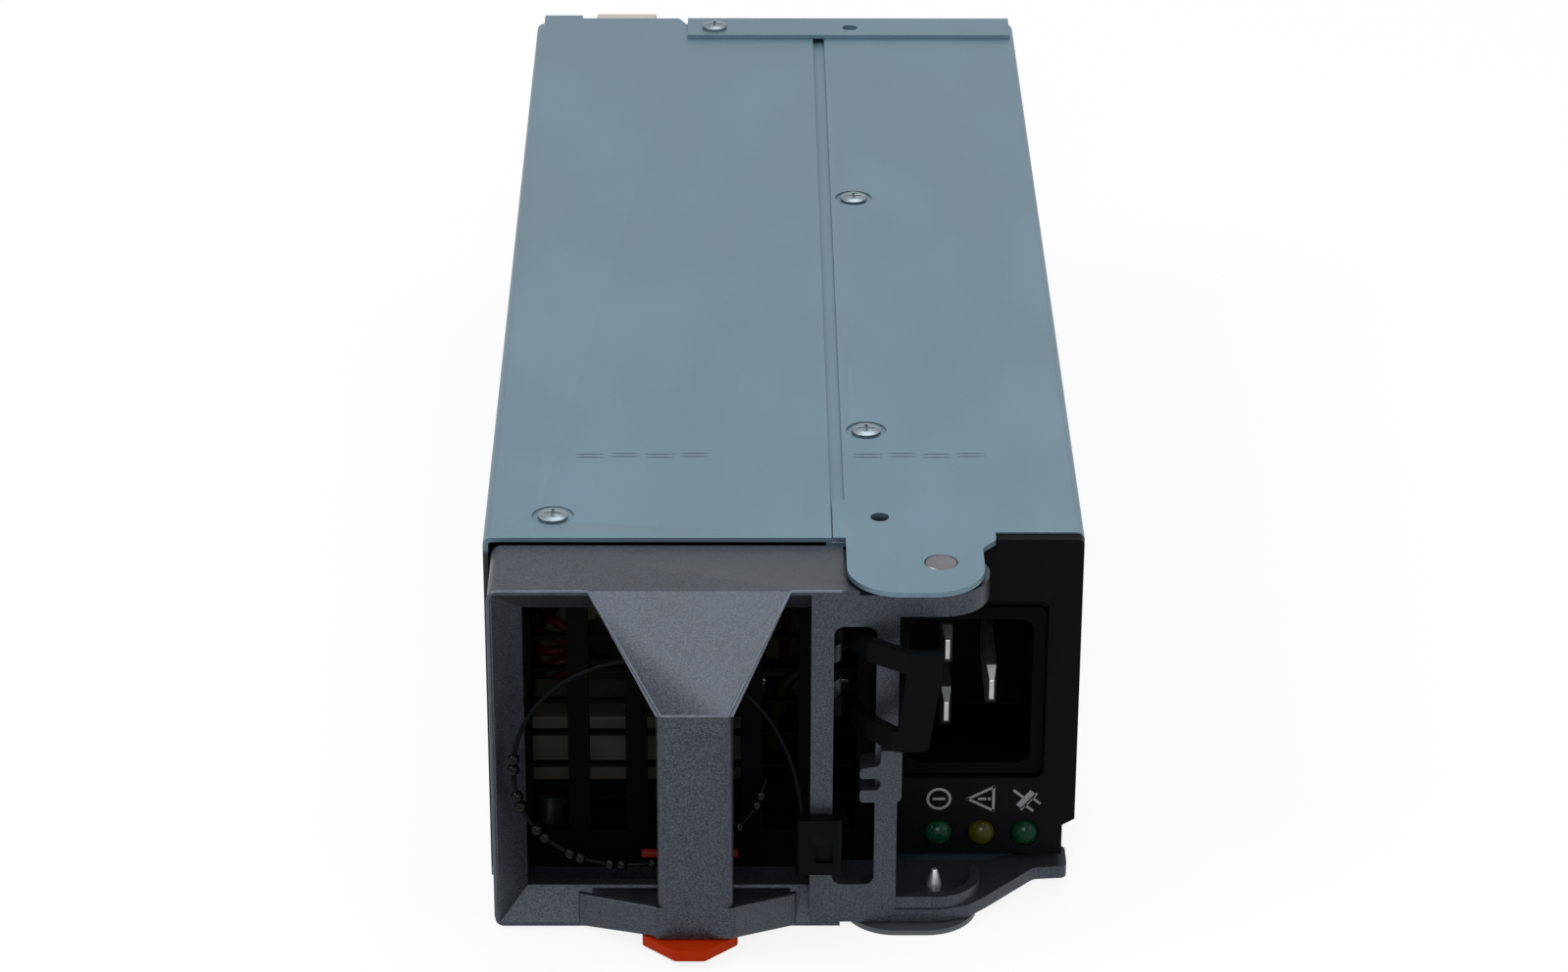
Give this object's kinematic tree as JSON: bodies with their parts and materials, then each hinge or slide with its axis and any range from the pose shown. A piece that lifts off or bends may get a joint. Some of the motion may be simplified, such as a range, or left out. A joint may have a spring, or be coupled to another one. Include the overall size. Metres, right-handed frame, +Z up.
{
  "type": "hot swap server power supply",
  "caption": "Slim metal-cased plug-in power supply with a swinging ejector handle, latch, cord clip, vented front, appliance inlet and rear output connector.",
  "frame": {"origin": "middle of the footprint, on the underside of the case", "axes": "+X to the right seen from the front, +Y from the front handle to the rear connector, +Z up"},
  "size_m": [0.108, 0.308, 0.0727],
  "materials": {
    "aluminium_fin": "extruded aluminium",
    "amber_lens": "tinted amber epoxy lens",
    "black_nylon": "moulded black nylon",
    "black_plastic": "moulded black plastic",
    "blue_wire": "blue insulation",
    "brown_wire": "brown insulation",
    "capacitor_sleeve": "shrink sleeve",
    "cast_grey": "die-cast alloy with metallic dark grey finish",
    "clear_film": "thin polyester film",
    "coil_tape": "yellow coil tape",
    "copper": "copper",
    "earth_wire": "yellow-green insulation",
    "enamel_wire": "enamelled copper wire",
    "ferrite": "sintered ferrite",
    "galvanised_steel": "galvanised sheet, fine matt grain",
    "glass_tube": "clear glass tube",
    "green_board": "solder-masked circuit board",
    "green_lens": "tinted green epoxy lens",
    "grey_epoxy": "moulded grey box",
    "ivory_plastic": "ivory moulded housing",
    "orange_plastic": "orange-red acetal, satin",
    "plated_contact": "bright tin plate",
    "powder_core": "yellow-green coated core",
    "zinc_steel": "bright zinc-plated"
  },
  "bodies": {
    "case": {"ac_inlet": "black_plastic", "base_screws": "zinc_steel", "board_standoffs": "zinc_steel", "boost_core": "powder_core", "boost_winding": "enamel_wire", "bridge_rectifier": "ferrite", "bulk_capacitors": "capacitor_sleeve", "busbars": "copper", "chassis": "galvanised_steel", "choke_base": "black_plastic", "choke_core": "powder_core", "choke_windings": "enamel_wire", "control_board": "green_board", "control_chips": "ferrite", "cover_screws": "zinc_steel", "earth_blade": "plated_contact", "earth_lead": "earth_wire", "fan_frame": "black_plastic", "fan_guard": "zinc_steel", "fan_screws": "zinc_steel", "fan_stator": "enamel_wire", "filter_capacitor": "grey_epoxy", "front_bezel": "black_plastic", "front_vent": "black_plastic", "fuse_clips": "zinc_steel", "inductor_coil": "enamel_wire", "input_fuse": "glass_tube", "insulating_film": "clear_film", "lamp_board": "green_board", "lamp_fault": "amber_lens", "lamp_input": "green_lens", "lamp_output": "green_lens", "left_cover": "galvanised_steel", "line_blade": "plated_contact", "line_lead": "brown_wire", "lower_pivot_pin": "zinc_steel", "main_board": "green_board", "neutral_blade": "plated_contact", "neutral_lead": "blue_wire", "output_capacitors": "capacitor_sleeve", "output_connector": "ivory_plastic", "output_contacts": "plated_contact", "output_inductor_core": "ferrite", "output_rectifiers": "ferrite", "power_transistors": "ferrite", "primary_heatsink": "aluminium_fin", "rear_panel": "galvanised_steel", "rectifier_heatsink": "aluminium_fin", "secondary_heatsink": "aluminium_fin", "transformer_coil": "coil_tape", "transformer_core": "ferrite", "upper_pivot_rivet": "galvanised_steel"},
    "handle": {"handle": "cast_grey", "tie_head": "black_nylon", "tie_strand": "black_nylon", "latch_spring": "zinc_steel"},
    "release_latch": {"release_latch": "orange_plastic"},
    "cord_clip": {"cord_clip": "black_nylon"},
    "fan_rotor": {"fan_rotor": "black_plastic"}
  },
  "joints": [
    {"name": "handle_hinge", "type": "hinge", "parent": "case", "child": "handle", "pos_m": [0.0277, -0.1316, 0.035], "axis": [0, 0, 1], "range_deg": [0, 75]},
    {"name": "latch_press", "type": "hinge", "parent": "handle", "child": "release_latch", "pos_m": [-0.0169, -0.1455, 0.019], "axis": [1, 0, 0], "range_deg": [0, 7.4], "stiffness_Nm_per_rad": 0.03},
    {"name": "clip_hinge", "type": "hinge", "parent": "handle", "child": "cord_clip", "pos_m": [0.0076, -0.1346, 0.051], "axis": [0, 0, -1], "range_deg": [0, 34]},
    {"name": "fan_spin", "type": "hinge", "parent": "case", "child": "fan_rotor", "pos_m": [0.016, 0.118, 0.035], "axis": [0, 1, 0], "continuous": true}
  ]
}
